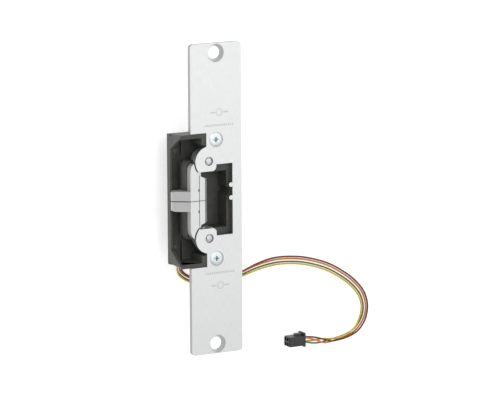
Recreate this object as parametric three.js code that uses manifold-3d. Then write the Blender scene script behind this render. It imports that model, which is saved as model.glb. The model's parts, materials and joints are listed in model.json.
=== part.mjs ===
// Electric door strike: a long faceplate with two swinging jaws, a ramped lip, a strike box that
// holds a solenoid and a sliding lock bar, and four leads that end in a plug-in connector.
//
// Millimetres. X runs across the faceplate, Y along it and Z out of its front.
// The origin is the middle of the rear cover's back face, on which the strike lies.

import * as THREE from 'three';
import { mergeVertices } from 'three/addons/utils/BufferGeometryUtils.js';
import Module from 'manifold-3d';

const wasm = await Module();
wasm.setup();

// ---------------------------------------------------------------- driving dimensions

const GAP = 0.3;                      // between pieces that touch
const FRONT = 30;                     // front of the faceplate, above the back of the rear cover

const PLATE = { length: 201.6, width: 36.5, thick: 3.2, corner: 2.5 };
const BACK = FRONT - PLATE.thick;
const MOUNT_Y = 94.45;                // holes for the screws that hold the strike in its frame
const FACE_SCREW_Y = 38.6;             // screws that hold the box behind the faceplate
const CUT = { x: -7, y: 43.5 };       // side cut-out of the faceplate, for the lip
const OPENING = { x: 11.6, top: 22.7, bottom: -23.5 };   // latch opening of the faceplate
const EAR = { r: 9.7, flat: 6.5, right: 0, fillet: 3 };
const SCALLOP = { x: 8.9, y: 4.4, r: 2.7 };
const NUB = { x: 10.6, offset: 4.2, r: 1.5 };

const PIN = { x: -5.2, y: 25, r: 1.5, headR: 2.2, foot: 2.4 };
const PIN_HOLE = PIN.r + GAP;
const GROOVE = { z0: 5.1, z1: 6, r: 1.05 };

const LIP = { x: -26.5, rim: 17, bottom: 12.9, y: 43.2, footY: 42.3, wall: 2.7, topX: -26.4 };
const LIP_CURVE = [[-19.2, 13.8], [-21, 14.4], [-22.8, 15.3], [-24.2, 16.2], [-25.2, LIP.rim]];
const WELL = { near: 34.2, far: 40.4, x: -24.8, z: 13.5 };   // hollows in the ends of the lip's floor
const GUSSET = { low: 32.4, high: 40.1, thick: 2 };
const RIM_BLOCK = { x: -10.6, y: 35.9 };
const RIVET = { x: -22.3, y: 31.5, r: 1.2, bossR: 2.6, seat: 15.2 };

const BOX = { x: 17.5, y: 42.3, rearY: 38.5, top: BACK - GAP, floor: 15, under: 13.2, back: 2.3 };
const POCKET = { x: 8.8, top: 17.6, bottom: -19 };
const POCKET_NOTCH = { x: 8.3, r: 2.8 };
const BAY_R = 7.9;                    // room for a jaw's hub in the box
const CHAMBER = { x: 16, y: 37 };
const CORE = { x: 12, y: 31 };        // hollow beside the latch pocket
const PILLAR = { x: 13.8, y: 34.8, r: 2 };
const COVER = { thick: 2, corner: 2 };

const JAW = { left: -18.5, right: -12.35, skirt: -17.7, low: 19, step: 25.2, shelf: 26.4 };
const JAW_HUB_R = 7.4;
const NECK = { r: 10.5, near: 18.7, far: 22.5, right: -9 };
const GUARD = { top: 24.9, foot: 19.2, lean: 1.3 };
const GUARD_OUTSIDE = [[-19.9, 18.4], [-19.8, 21.8], [-19.3, 24], [-18.3, 25.3], [-16.9, 25.8]];
const GUARD_INSIDE = [[-14.6, 25.6], [-14.8, 25], [-16, 24.7], [-17.2, 23.9], [-18, 22.4]];
const EAR_CLEAR_R = 10.7;             // what a jaw carries at faceplate level stays outside this
const CENTRE_GAP = 0.2;               // each jaw stops this far from the middle
const FINGER = { tip: -28.5, near: 0.3, far: 6.5, rootZ: 29.6, tipZ: 23.7, tipLow: 21.6 };
const INSERT = { left: -12, right: -6.2, edge: -8.3, edgeZ: 28.4, clearR: 10.9 };
const INSERT_SHELF = { right: -9.2, y: 18.3, top: 26.3 };  // where it runs on under the ear
const INSERT_SCREW = { y: 12, z: 22.6, r: 1.4, headR: 2.2 };
const BOSS = { r: 4, flat: -3.2, low: 6.2, hole: 4.4 };

const ARM = { z0: 6.5, z1: 9.5, hubR: 6, reach: 10.2, root: 1.75, tip: 1.4 };
const BAR = { x0: 5.9, x1: 9.9, y: 22.6, z0: 6.6, z1: 9.4, tabY: 14, tabHalf: 3.4, tabX: 15.5 };
const STROKE = 3.4;                   // travel of the lock bar
const GUIDE = { x: 9.1, r: 1.5 };
const AXIS_Z = 8;                     // height of the solenoid's axis

const YOKE = { x0: -15.2, x1: -0.2, y: 7.4, thick: 1.4, z0: 3.3, z1: 12.7 };
const TAB = { x0: -10.5, x1: -4.5, y: 12.6, z0: 11.5, screwX: -7.5, screwY: 10 };
const COIL = { inner: 3.2, outer: 4.8, x0: -12.3, x1: -3.1 };
const PLUNGER = { r: 2, neck: 1.1, x0: -8.5, shoulder: 5.6, headX: 8.7, x1: 10.2 };

const LEAD_D = 1.15;                  // insulated lead
const LEAD_PITCH = 1.45;              // between the middles of leads that lie side by side
const PAIR_GAP = 0.22;                // how much farther each pair lies from the other, fanned out
const CAVITY_PITCH = 3;
const EXIT = { x: -9.8, z: 3.9 };
const GROMMET = { halfX: 2, halfZ: 1.7, flange: 0.8, outer: -39.9 };
const PLUG = { x0: 64.7, x1: 77, y: -105.6, width: 6.6, height: 7.4 };

// ---------------------------------------------------------------- materials

const finish = (color, roughness, metalness) =>
  new THREE.MeshStandardMaterial({ color, roughness, metalness });

const SATIN_STEEL = finish(0xd3d6d9, 0.38, 0.9);
const CAST_JAW = finish(0xbfc2c4, 0.45, 0.85);
const BLACK_CASTING = finish(0x1f2022, 0.55, 0.3);
const ZINC_SCREW = finish(0xc3d0d8, 0.3, 1);
const STEEL = finish(0x9a9da0, 0.4, 1);
const SPRING_STEEL = finish(0x84878a, 0.35, 1);
const PASSIVATED = finish(0xb9a86a, 0.45, 0.9);
const COPPER = finish(0xa8552a, 0.45, 0.7);
const NYLON = finish(0xd9d5c6, 0.6, 0);
const BLACK_NYLON = finish(0x161617, 0.5, 0);
const RUBBER = finish(0x1c1c1c, 0.85, 0);
const TINNED = finish(0xc8b48c, 0.3, 1);
const INSULATION = {
  brown: finish(0x6b2a1c, 0.5, 0),
  orange: finish(0xd9803a, 0.5, 0),
  green: finish(0x4f6b3a, 0.5, 0),
  yellow: finish(0xd9c23c, 0.5, 0),
};

// ---------------------------------------------------------------- solids

function toSolid(geometry) {
  const bare = geometry.clone();
  bare.deleteAttribute('normal');
  bare.deleteAttribute('uv');
  const merged = mergeVertices(bare, 1e-4);
  return new wasm.Manifold(new wasm.Mesh({
    numProp: 3,
    vertProperties: merged.attributes.position.array,
    triVerts: Uint32Array.from(merged.index.array),
  }));
}

function toGeometry(solid) {
  const { vertProperties, triVerts, numProp } = solid.getMesh();
  const points = new Float32Array(vertProperties.length / numProp * 3);
  for (let i = 0; i < points.length / 3; i += 1) {
    points.set(vertProperties.subarray(i * numProp, i * numProp + 3), i * 3);
  }
  const geometry = new THREE.BufferGeometry();
  geometry.setAttribute('position', new THREE.BufferAttribute(points, 3));
  geometry.setIndex(new THREE.BufferAttribute(Uint32Array.from(triVerts), 1));
  geometry.computeVertexNormals();
  return geometry;
}

const join = (first, ...rest) => rest.reduce((all, next) => all.add(next), first);
const cut = (first, ...rest) => rest.reduce((all, next) => all.subtract(next), first);

function box(x0, x1, y0, y1, z0, z1) {
  const geometry = new THREE.BoxGeometry(x1 - x0, y1 - y0, z1 - z0);
  return toSolid(geometry.translate((x0 + x1) / 2, (y0 + y1) / 2, (z0 + z1) / 2));
}

// A cylinder, or a cone where the two radii differ, standing along Z.
function post(x, y, z0, z1, r0, r1 = r0, sides = 24) {
  const geometry = new THREE.CylinderGeometry(r1, r0, z1 - z0, sides);
  return toSolid(geometry.rotateX(Math.PI / 2).translate(x, y, (z0 + z1) / 2));
}

// The same, lying along X.
function rod(y, z, x0, x1, r0, r1 = r0, sides = 16) {
  const geometry = new THREE.CylinderGeometry(r1, r0, x1 - x0, sides);
  return toSolid(geometry.rotateZ(-Math.PI / 2).translate((x0 + x1) / 2, y, z));
}

const outline = (points) => new THREE.Shape(points.map(([a, b]) => new THREE.Vector2(a, b)));

// An outline in XY, raised from z0 to z1.
function prism(shape, z0, z1, curveSegments = 12) {
  const options = { depth: z1 - z0, bevelEnabled: false, curveSegments };
  return toSolid(new THREE.ExtrudeGeometry(shape, options).translate(0, 0, z0));
}

// An outline in XZ, drawn out along Y.
function prismAlongY(points, y0, y1) {
  const geometry = new THREE.ExtrudeGeometry(outline(points), { depth: y1 - y0, bevelEnabled: false });
  return toSolid(geometry.rotateX(Math.PI / 2).translate(0, y1, 0));
}

// An outline in YZ, drawn out along X.
function prismAlongX(points, x0, x1) {
  const geometry = new THREE.ExtrudeGeometry(outline(points), { depth: x1 - x0, bevelEnabled: false });
  return toSolid(geometry.rotateX(Math.PI / 2).rotateZ(Math.PI / 2).translate(x0, 0, 0));
}

function roundedPlate(halfX, halfY, corner, z0, z1) {
  const shape = new THREE.Shape();
  shape.moveTo(halfX, halfY - corner);
  shape.absarc(halfX - corner, halfY - corner, corner, 0, Math.PI / 2);
  shape.absarc(corner - halfX, halfY - corner, corner, Math.PI / 2, Math.PI);
  shape.absarc(corner - halfX, corner - halfY, corner, Math.PI, Math.PI * 1.5);
  shape.absarc(halfX - corner, corner - halfY, corner, Math.PI * 1.5, Math.PI * 2);
  return prism(shape, z0, z1, 4);
}

// The other half of a symmetric pair, below the middle of the strike.
function mirrored(solid) {
  const geometry = toGeometry(solid).toNonIndexed();
  const p = geometry.attributes.position;
  for (let i = 0; i < p.count; i += 3) {
    const a = [p.getX(i), -p.getY(i), p.getZ(i)];
    const b = [p.getX(i + 1), -p.getY(i + 1), p.getZ(i + 1)];
    p.setXYZ(i, ...b);
    p.setXYZ(i + 1, ...a);
    p.setY(i + 2, -p.getY(i + 2));
  }
  return toSolid(geometry);
}

const bothHalves = (make) => {
  const upper = make();
  return [upper, mirrored(upper)];
};

// A round wire swept along a smooth curve through the given points.
function wire(points, radius, steps, sides = 8) {
  const section = new THREE.Shape();
  for (let i = 0; i < sides; i += 1) {
    const turn = (i / sides) * Math.PI * 2;
    const place = [radius * Math.cos(turn), radius * Math.sin(turn)];
    if (i === 0) section.moveTo(...place);
    else section.lineTo(...place);
  }
  const extrudePath = new THREE.CatmullRomCurve3(points.map((p) => new THREE.Vector3(...p)));
  return toSolid(new THREE.ExtrudeGeometry(section, { steps, bevelEnabled: false, extrudePath }));
}

// ---------------------------------------------------------------- the assembly

const strike = new THREE.Group();

function place(name, solid, material) {
  const mesh = new THREE.Mesh(toGeometry(solid), material);
  mesh.name = name;
  strike.add(mesh);
}

function placePair(name, make, material) {
  const [upper, lower] = bothHalves(make);
  place(`upper_${name}`, upper, material);
  place(`lower_${name}`, lower, material);
}

// ---------------------------------------------------------------- faceplate

// The ear that carries a pivot pin: round outside, flat towards the middle.
function earShape() {
  const flatY = PIN.y - EAR.flat;
  const start = Math.PI + Math.asin(EAR.flat / EAR.r);
  const end = Math.PI / 2 + 0.19;
  const shape = new THREE.Shape();
  shape.moveTo(EAR.right - EAR.fillet, flatY);
  shape.lineTo(PIN.x + EAR.r * Math.cos(start), flatY);
  shape.absarc(PIN.x, PIN.y, EAR.r, start, end, true);
  shape.lineTo(EAR.right, PIN.y + EAR.r);
  shape.lineTo(EAR.right, flatY + EAR.fillet);
  shape.absarc(EAR.right - EAR.fillet, flatY + EAR.fillet, EAR.fillet, 0, -Math.PI / 2, true);
  return shape;
}

function faceplate() {
  let plate = roundedPlate(PLATE.width / 2, PLATE.length / 2, PLATE.corner, BACK, FRONT);
  plate = cut(
    plate,
    box(-PLATE.width, CUT.x, -CUT.y, CUT.y, BACK - 1, FRONT + 1),
    box(CUT.x - 1, OPENING.x, OPENING.bottom, OPENING.top, BACK - 1, FRONT + 1),
  );
  for (const side of [-1, 1]) {
    plate = plate.add(post(NUB.x, SCALLOP.y + side * NUB.offset, BACK, FRONT, NUB.r, NUB.r, 12));
  }
  plate = plate.subtract(post(SCALLOP.x, SCALLOP.y, BACK - 1, FRONT + 1, SCALLOP.r));
  for (const ear of bothHalves(() => prism(earShape(), BACK, FRONT, 16))) plate = plate.add(ear);
  for (const side of [-1, 1]) {
    plate = cut(
      plate,
      post(0, side * MOUNT_Y, BACK - 1, FRONT + 1, 4.1),
      post(0, side * MOUNT_Y, FRONT - 1.9, FRONT + 0.1, 4.1, 6),
      post(0, side * FACE_SCREW_Y, BACK - 1, FRONT + 1, 1.9),
      post(0, side * FACE_SCREW_Y, FRONT - 3.3, FRONT + 0.1, 1.9, 5),
      post(PIN.x, side * PIN.y, BACK - 1, FRONT + 1, PIN_HOLE, PIN_HOLE, 16),
      post(PIN.x, side * PIN.y, FRONT - 0.9, FRONT + 0.1, PIN.headR + 0.3, 3, 24),
    );
  }
  return plate;
}

// A flat-head screw with a cross recess, front up.
function faceScrew() {
  const y = FACE_SCREW_Y;
  const top = FRONT - 0.15;
  const screw = join(
    post(0, y, top - 0.5, top, 4.1),
    post(0, y, top - 3.25, top - 0.5, 1.5, 4.1),
    post(0, y, 16.2, top - 3, 1.5, 1.5, 14),
  );
  return cut(
    screw,
    box(-1.6, 1.6, y - 0.45, y + 0.45, top - 1.6, top + 1),
    box(-0.45, 0.45, y - 1.6, y + 1.6, top - 1.6, top + 1),
    post(0, y, top - 2, top + 1, 0.5, 1.2, 8),
  );
}

// ---------------------------------------------------------------- lip housing

const lipLean = (LIP.topX - LIP.x) / (FRONT - LIP.rim);

function lipEndWall() {
  const side = prismAlongY([
    [LIP.x, LIP.bottom], [BOX.x * -1 - GAP, LIP.bottom], [BOX.x * -1 - GAP, BOX.floor + GAP],
    [CUT.x - GAP, BOX.floor + GAP], [CUT.x - GAP, FRONT], [LIP.topX, FRONT], [LIP.x, LIP.rim],
  ], LIP.y - LIP.wall, LIP.y);
  const draft = prismAlongX([
    [LIP.y - LIP.wall, LIP.bottom], [LIP.footY, LIP.bottom], [LIP.y, FRONT], [LIP.y - LIP.wall, FRONT],
  ], LIP.x, CUT.x - GAP);
  const corner = prism(outline([
    [LIP.x - 1, LIP.y - 2.8], [LIP.x + 3.2, LIP.y + 1], [LIP.x - 1, LIP.y + 1],
  ]), LIP.bottom - 1, FRONT + 1);
  return side.intersect(draft).subtract(corner);
}

// The web that stiffens the end wall, sloping down to the low rim.
function lipGusset() {
  const web = prismAlongY([
    [LIP.x, LIP.rim - 0.2], [LIP.x + GUSSET.thick, LIP.rim - 0.2],
    [LIP.topX + GUSSET.thick, FRONT], [LIP.topX, FRONT],
  ], GUSSET.low, LIP.y - LIP.wall + 0.5);
  const slope = prismAlongX([
    [GUSSET.low, LIP.rim - 0.2], [LIP.y, LIP.rim - 0.2], [LIP.y, FRONT],
    [GUSSET.high + 0.7, FRONT], [GUSSET.high, FRONT - 1.5],
  ], LIP.x - 1, LIP.topX + 4);
  return web.intersect(slope);
}

// The low floor that the latch bolt crosses, hollowed towards the box.
function lipFloor() {
  const inner = -BOX.x - GAP;
  const floor = prismAlongY([
    [LIP.x, LIP.bottom], [inner, LIP.bottom], [inner, 13.7], ...LIP_CURVE, [LIP.x, LIP.rim],
  ], -LIP.footY, LIP.footY);
  const wells = [-1, 1].map((side) => {
    const ends = [side * WELL.near, side * WELL.far];
    return box(WELL.x, inner + 1, Math.min(...ends), Math.max(...ends), WELL.z, 20);
  });
  return cut(floor, ...wells);
}

function lipHousing() {
  let lip = lipFloor();
  const end = () => join(
    lipEndWall(),
    lipGusset(),
    box(RIM_BLOCK.x, CUT.x - GAP, RIM_BLOCK.y, LIP.y - LIP.wall + 0.5, BOX.floor + GAP, FRONT),
  );
  for (const half of bothHalves(end)) lip = lip.add(half);
  for (const side of [-1, 1]) {
    const y = side * RIVET.y;
    lip = cut(
      lip.add(post(RIVET.x, y, LIP.bottom, RIVET.seat, RIVET.bossR)),
      post(RIVET.x, y, RIVET.seat, 20, RIVET.bossR),
      post(RIVET.x, y, LIP.bottom - 1, 20, RIVET.r + GAP, RIVET.r + GAP, 12),
    );
  }
  return lip;
}

// A rivet through the lip's floor, into the arm that reaches under it from the box.
function lipRivet() {
  return join(
    post(RIVET.x, RIVET.y, RIVET.seat + GAP, RIVET.seat + 1.1, 2.1, 1.6, 16),
    post(RIVET.x, RIVET.y, 10.5, 16, RIVET.r, RIVET.r, 12),
    post(RIVET.x, RIVET.y, 9.8, 11.1, 1.6, 2, 12),
  );
}

// ---------------------------------------------------------------- strike box

function boxShell() {
  let shell = join(
    box(-BOX.x, BOX.x, -BOX.y, BOX.y, BOX.under, BOX.top),
    box(-BOX.x, BOX.x, -BOX.rearY, BOX.rearY, BOX.back, BOX.under + 1),
  );
  shell = cut(
    shell,
    box(-BOX.x - 1, CUT.x + GAP, -BOX.y - 1, BOX.y + 1, BOX.floor, BOX.top + 1),
    box(CUT.x, POCKET.x, POCKET.bottom, POCKET.top, BOX.floor, BOX.top + 1),
    post(POCKET_NOTCH.x, SCALLOP.y, BOX.floor, BOX.top + 1, POCKET_NOTCH.r),
    box(-CHAMBER.x, CHAMBER.x, -CHAMBER.y, CHAMBER.y, BOX.back - 1, BOX.under),
    box(CORE.x, CHAMBER.x, -CORE.y, CORE.y, BOX.under - 1, BOX.top - 1.8),
  );
  return shell;
}

// A tongue of the box that reaches under the lip's floor and takes its rivet.
function lipTongue() {
  return box(RIVET.x - 3, -BOX.x + 1, RIVET.y - 3.2, LIP.y - 2.2, 11.4, LIP.bottom - GAP);
}

function halfBoxCuts() {
  return join(
    post(PIN.x, PIN.y, JAW.low - GAP, BOX.top + 1, BAY_R, BAY_R, 40),
    post(PIN.x, PIN.y, BOX.under - 1, JAW.low, BOSS.hole),
    post(0, FACE_SCREW_Y, 14.5, BOX.top + 1, 1.8, 1.8, 12),
    post(RIVET.x, RIVET.y, 10, LIP.bottom, RIVET.r + GAP, RIVET.r + GAP, 12),
    post(GUIDE.x, BAR.tabY, BOX.under - 1, 14.6, 1.4, 1.4, 10),
    post(TAB.screwX, TAB.screwY, BOX.under - 1, 14.6, 1.3, 1.3, 10),
  );
}

function coverPillars() {
  let pillars = null;
  for (const x of [-PILLAR.x, PILLAR.x]) {
    for (const y of [-PILLAR.y, PILLAR.y]) {
      const pillar = cut(
        post(x, y, BOX.back, BOX.under + 0.5, PILLAR.r, PILLAR.r, 12),
        post(x, y, BOX.back - 1, 9, 1.25, 1.25, 10),
      );
      pillars = pillars ? pillars.add(pillar) : pillar;
    }
  }
  return pillars;
}

function strikeBox() {
  let body = boxShell().add(coverPillars());
  for (const tongue of bothHalves(lipTongue)) body = body.add(tongue);
  for (const cuts of bothHalves(halfBoxCuts)) body = body.subtract(cuts);
  const exitSlot = box(EXIT.x - GROMMET.halfX - GAP, EXIT.x + GROMMET.halfX + GAP,
    -BOX.rearY - 1, -CHAMBER.y + 1, BOX.back - 1, EXIT.z + GROMMET.halfZ + GAP);
  return body.subtract(exitSlot);
}

function rearCover() {
  let cover = roundedPlate(BOX.x, BOX.rearY, COVER.corner, 0, COVER.thick);
  for (const x of [-PILLAR.x, PILLAR.x]) {
    for (const y of [-PILLAR.y, PILLAR.y]) {
      cover = cut(
        cover,
        post(x, y, -1, COVER.thick + 1, 1.3, 1.3, 14),
        post(x, y, -0.1, 1.5, 2.8, 1.3, 14),
      );
    }
  }
  return cover;
}

function coverScrew(x, y) {
  const screw = join(
    post(x, y, 0.1, 0.4, 2.2, 2.2, 14),
    post(x, y, 0.4, 1.5, 2.2, 0.95, 14),
    post(x, y, 1, 8, 0.95, 0.95, 10),
  );
  return cut(
    screw,
    box(x - 1.3, x + 1.3, y - 0.25, y + 0.25, -1, 0.8),
    box(x - 0.25, x + 0.25, y - 1.3, y + 1.3, -1, 0.8),
  );
}

// ---------------------------------------------------------------- jaws

// Plan of the jaw's arm: straight along the strike, then in to a point beside the ear.
function jawArmShape() {
  const startAngle = Math.PI + Math.acos((PIN.x - JAW.right) / EAR_CLEAR_R);
  const endAngle = Math.PI + 0.075;
  const shape = new THREE.Shape();
  shape.moveTo(JAW.left, CENTRE_GAP);
  shape.lineTo(JAW.right, CENTRE_GAP);
  shape.lineTo(JAW.right, PIN.y + EAR_CLEAR_R * Math.sin(startAngle));
  shape.absarc(PIN.x, PIN.y, EAR_CLEAR_R, startAngle, endAngle, true);
  shape.quadraticCurveTo(-18.2, 23.2, JAW.left, 18.6);
  return shape;
}

// The hub's disc, cut away where it would stand in the latch opening.
function jawHub() {
  const disc = post(PIN.x, PIN.y, JAW.low, JAW.shelf, JAW_HUB_R, JAW_HUB_R, 40);
  return disc.subtract(box(-6.6, 10, 0, PIN.y - EAR.flat, JAW.low - 1, JAW.shelf + 1));
}

// The block that closes the gap in front of the lip, its face sloping back to a blunt tip.
function jawFinger() {
  const root = JAW.left + 0.6;
  const block = prismAlongY([
    [root, JAW.low], [root, FINGER.rootZ + 0.3], [JAW.left, FINGER.rootZ],
    [FINGER.tip, FINGER.tipZ], [FINGER.tip, FINGER.tipLow], [-25.4, JAW.low],
  ], FINGER.near, FINGER.far);
  const corner = prism(outline([
    [FINGER.tip - 1, FINGER.far - 1.2], [FINGER.tip + 2.6, FINGER.far + 0.6],
    [FINGER.tip - 1, FINGER.far + 0.6],
  ]), JAW.low - 1, FRONT);
  return block.subtract(corner);
}

// Under the ear's edge a neck joins the arm to the hub.
function jawNeck() {
  const outer = post(PIN.x, PIN.y, JAW.low, JAW.shelf, EAR_CLEAR_R + GAP, EAR_CLEAR_R + GAP, 40);
  const inner = post(PIN.x, PIN.y, JAW.low, JAW.shelf, NECK.r, NECK.r, 40);
  return join(
    outer.intersect(box(JAW.left, INSERT.left - 0.4, 17, NECK.far, JAW.low, JAW.shelf)),
    inner.intersect(box(INSERT.left - 0.5, NECK.right, NECK.near, NECK.far, JAW.low, JAW.shelf)),
  );
}

// A solid between two outlines of as many points each, given anticlockwise.
function loft(low, high, z0, z1) {
  const n = low.length;
  const caps = THREE.ShapeUtils.triangulateShape(low.map(([x, y]) => new THREE.Vector2(x, y)), []);
  const points = [...low.map(([x, y]) => [x, y, z0]), ...high.map(([x, y]) => [x, y, z1])];
  const faces = caps.flatMap(([i, j, k]) => [[i, k, j], [n + i, n + j, n + k]]);
  for (let i = 0; i < n; i += 1) {
    const next = (i + 1) % n;
    faces.push([i, next, n + next], [i, n + next, n + i]);
  }
  const geometry = new THREE.BufferGeometry();
  geometry.setAttribute('position', new THREE.Float32BufferAttribute(points.flat(), 3));
  geometry.setIndex(faces.flat());
  return toSolid(geometry);
}

// The black skirt that flares out beside the arm, bends round its tip and hides the insert's screw.
function jawGuard() {
  const near = FINGER.far + GAP;
  const face = JAW.skirt - GAP;
  const outside = [[GUARD_OUTSIDE[0][0], near], ...GUARD_OUTSIDE];
  const inside = [...GUARD_INSIDE, [face, near]];
  const middle = new THREE.Vector2(PIN.x, PIN.y);
  const leaned = outside.map(([x, y], i) => {
    const inward = i === 0 ? new THREE.Vector2(1, 0) : middle.clone().sub({ x, y }).normalize();
    return [x + inward.x * GUARD.lean, y + inward.y * GUARD.lean];
  });
  return loft([...outside, ...inside].reverse(), [...leaned, ...inside].reverse(), GUARD.foot, GUARD.top);
}

function jaw() {
  const arm = prism(jawArmShape(), JAW.low, FRONT, 10);
  const skirtCut = box(JAW.left - 1, JAW.skirt, -1, 30, JAW.low - 1, JAW.step);
  const boss = post(PIN.x, PIN.y, BOSS.low, JAW.low + 1, BOSS.r)
    .subtract(box(PIN.x - 6, PIN.x + BOSS.flat, PIN.y - 6, PIN.y + 6, 0, ARM.z1 + 0.2));
  return cut(
    join(arm.subtract(skirtCut), jawNeck(), jawHub(), boss, jawFinger()),
    post(PIN.x, PIN.y, BOSS.low - 1, JAW.shelf + 1, PIN_HOLE, PIN_HOLE, 16),
    post(JAW.right + 0.1, 6.9, FRONT - 4, FRONT + 1, 0.9, 0.9, 12),
    rod(INSERT_SCREW.y, INSERT_SCREW.z, JAW.left - 1, JAW.right + 1, INSERT_SCREW.r + GAP),
    rod(INSERT_SCREW.y, INSERT_SCREW.z, JAW.left - 1, -15.6, INSERT_SCREW.headR + GAP),
  );
}

// The adjustable keeper plate that the latch bolt bears on.
function jawInsert() {
  const { left, right, edge, edgeZ, clearR } = INSERT;
  const height = (x) => PIN.y - Math.sqrt(clearR ** 2 - (x - PIN.x) ** 2);
  const leftAngle = Math.PI + Math.acos((PIN.x - left) / clearR);
  const rightAngle = Math.PI + Math.acos((PIN.x - right) / clearR);
  const shape = new THREE.Shape();
  shape.moveTo(left, CENTRE_GAP);
  shape.lineTo(right, CENTRE_GAP);
  shape.lineTo(right, height(right));
  shape.absarc(PIN.x, PIN.y, clearR, rightAngle, leftAngle, true);
  const chamfer = prismAlongY([
    [edge, FRONT + 0.01], [right + 1, FRONT + 0.01], [right + 1, edgeZ], [right, edgeZ],
  ], -1, 30);
  const shelf = box(left, INSERT_SHELF.right, height(left) - 2, INSERT_SHELF.y, JAW.low, INSERT_SHELF.top);
  return cut(
    prism(shape, JAW.low, FRONT, 8).add(shelf),
    chamfer,
    rod(INSERT_SCREW.y, INSERT_SCREW.z, left - 1, right - 1, INSERT_SCREW.r + GAP),
  );
}

function insertScrew() {
  const { y, z, r, headR } = INSERT_SCREW;
  const screw = rod(y, z, -17.2, -15.9, headR).add(rod(y, z, -15.9, INSERT.right - 1.4, r));
  return screw.subtract(rod(y, z, -18, -16.5, 1.1, 1.1, 6));
}

function pivotPin() {
  const shank = join(
    post(PIN.x, PIN.y, FRONT - 0.6, FRONT - 0.25, PIN.headR, PIN.headR, 24),
    post(PIN.x, PIN.y, FRONT - 0.25, FRONT, PIN.headR, 1.7, 24),
    post(PIN.x, PIN.y, PIN.foot, FRONT - 0.5, PIN.r, PIN.r, 16),
  );
  const groove = post(PIN.x, PIN.y, GROOVE.z0, GROOVE.z1, 4).subtract(
    post(PIN.x, PIN.y, GROOVE.z0 - 1, GROOVE.z1 + 1, GROOVE.r, GROOVE.r, 16));
  return shank.subtract(groove);
}

function retainingClip() {
  const ring = cut(
    post(PIN.x, PIN.y, GROOVE.z0 + 0.15, GROOVE.z1 - 0.15, 3.4, 3.4, 16),
    post(PIN.x, PIN.y, GROOVE.z0 - 1, GROOVE.z1 + 1, GROOVE.r + GAP, GROOVE.r + GAP, 16),
  );
  return ring.subtract(box(PIN.x, PIN.x + 5, PIN.y - 1.2, PIN.y + 1.2, GROOVE.z0 - 1, GROOVE.z1 + 1));
}

// Torsion spring round the jaw's boss, with a straight leg at each end.
function returnSpring() {
  const radius = 5.3;
  const turns = 2.5;
  const perTurn = 10;
  const [low, high] = [10.3, 12.5];
  const points = [[PIN.x - 5.5, PIN.y + radius, low]];
  for (let i = 0; i <= turns * perTurn; i += 1) {
    const angle = Math.PI / 2 - (i / perTurn) * Math.PI * 2;
    const z = low + ((high - low) * i) / (turns * perTurn);
    points.push([PIN.x + radius * Math.cos(angle), PIN.y + radius * Math.sin(angle), z]);
  }
  points.push([PIN.x - 5.5, PIN.y - radius, high]);
  return wire(points, 0.4, 36, 6);
}

// The arm under the box's floor that the lock bar blocks.
function lockArm() {
  const tipX = PIN.x + ARM.reach;
  const plate = join(
    post(PIN.x, PIN.y, ARM.z0, ARM.z1, ARM.hubR),
    prism(outline([
      [PIN.x, PIN.y - ARM.root], [tipX, PIN.y - ARM.tip], [tipX, PIN.y + ARM.tip],
      [PIN.x, PIN.y + ARM.root],
    ]), ARM.z0, ARM.z1),
  );
  const bore = post(PIN.x, PIN.y, ARM.z0 - 1, ARM.z1 + 1, BOSS.r + GAP)
    .subtract(box(PIN.x - 6, PIN.x + BOSS.flat - GAP, PIN.y - 6, PIN.y + 6, 0, 20));
  return plate.subtract(bore);
}

// ---------------------------------------------------------------- lock bar and solenoid

function lockBar() {
  let bar = box(BAR.x0, BAR.x1, -BAR.y, BAR.y, BAR.z0, BAR.z1);
  for (const side of [-1, 1]) {
    const y = side * BAR.tabY;
    bar = bar.add(box(BAR.x0, BAR.tabX, y - BAR.tabHalf, y + BAR.tabHalf, BAR.z0, BAR.z1));
  }
  bar = bar.add(box(BAR.x0, BAR.x0 + 2.5, -4.5, 4.5, 4.6, 11.4));
  for (const side of [-1, 1]) {
    const y = side * BAR.tabY;
    const half = GUIDE.r + GAP;
    bar = cut(
      bar,
      post(GUIDE.x, y, 0, 12, half, half, 16),
      box(GUIDE.x, GUIDE.x + STROKE, y - half, y + half, 0, 12),
      post(GUIDE.x + STROKE, y, 0, 12, half, half, 16),
    );
  }
  return cut(
    bar,
    box(BAR.x0 - 1, BAR.x1 + 1, -1.4, 1.4, 0, AXIS_Z + 1.4),
    box(BAR.x0 + 2.5, BAR.x1 + 1, -2.4, 2.4, 0, 13),
  );
}

function guideScrew() {
  const y = BAR.tabY;
  return join(
    post(GUIDE.x, y, 4.6, 6.2, 2.8, 2.8, 16),
    post(GUIDE.x, y, 6, BOX.under - GAP, GUIDE.r, GUIDE.r, 12),
    post(GUIDE.x, y, 6, 14.3, 1.1, 1.1, 8),
  ).subtract(box(GUIDE.x - 2, GUIDE.x + 2, y - 0.35, y + 0.35, 4, 5.3));
}

function solenoidYoke() {
  const { x0, x1, y, thick, z0, z1 } = YOKE;
  let yoke = cut(
    box(x0, x1, -y, y, z0, z1),
    box(x0 + thick, x1 - thick, thick - y, y - thick, z0 - 1, z1 + 1),
    rod(0, AXIS_Z, x1 - thick - 1, x1 + 1, PLUNGER.r + 0.35),
    rod(0, AXIS_Z, x0 - 1, x0 + thick + 1, 1.5, 1.5, 12),
  );
  yoke = yoke.subtract(box(EXIT.x - 2, EXIT.x + 2, -y - 1, thick - y + 1, z0 - 1, EXIT.z + 2));
  for (const side of [-1, 1]) {
    const near = side * (y - 0.5);
    const far = side * TAB.y;
    const tab = box(TAB.x0, TAB.x1, Math.min(near, far), Math.max(near, far), TAB.z0, z1);
    yoke = yoke.add(tab).subtract(post(TAB.screwX, side * TAB.screwY, 10, 14, 1.3, 1.3, 12));
  }
  return yoke;
}

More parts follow.
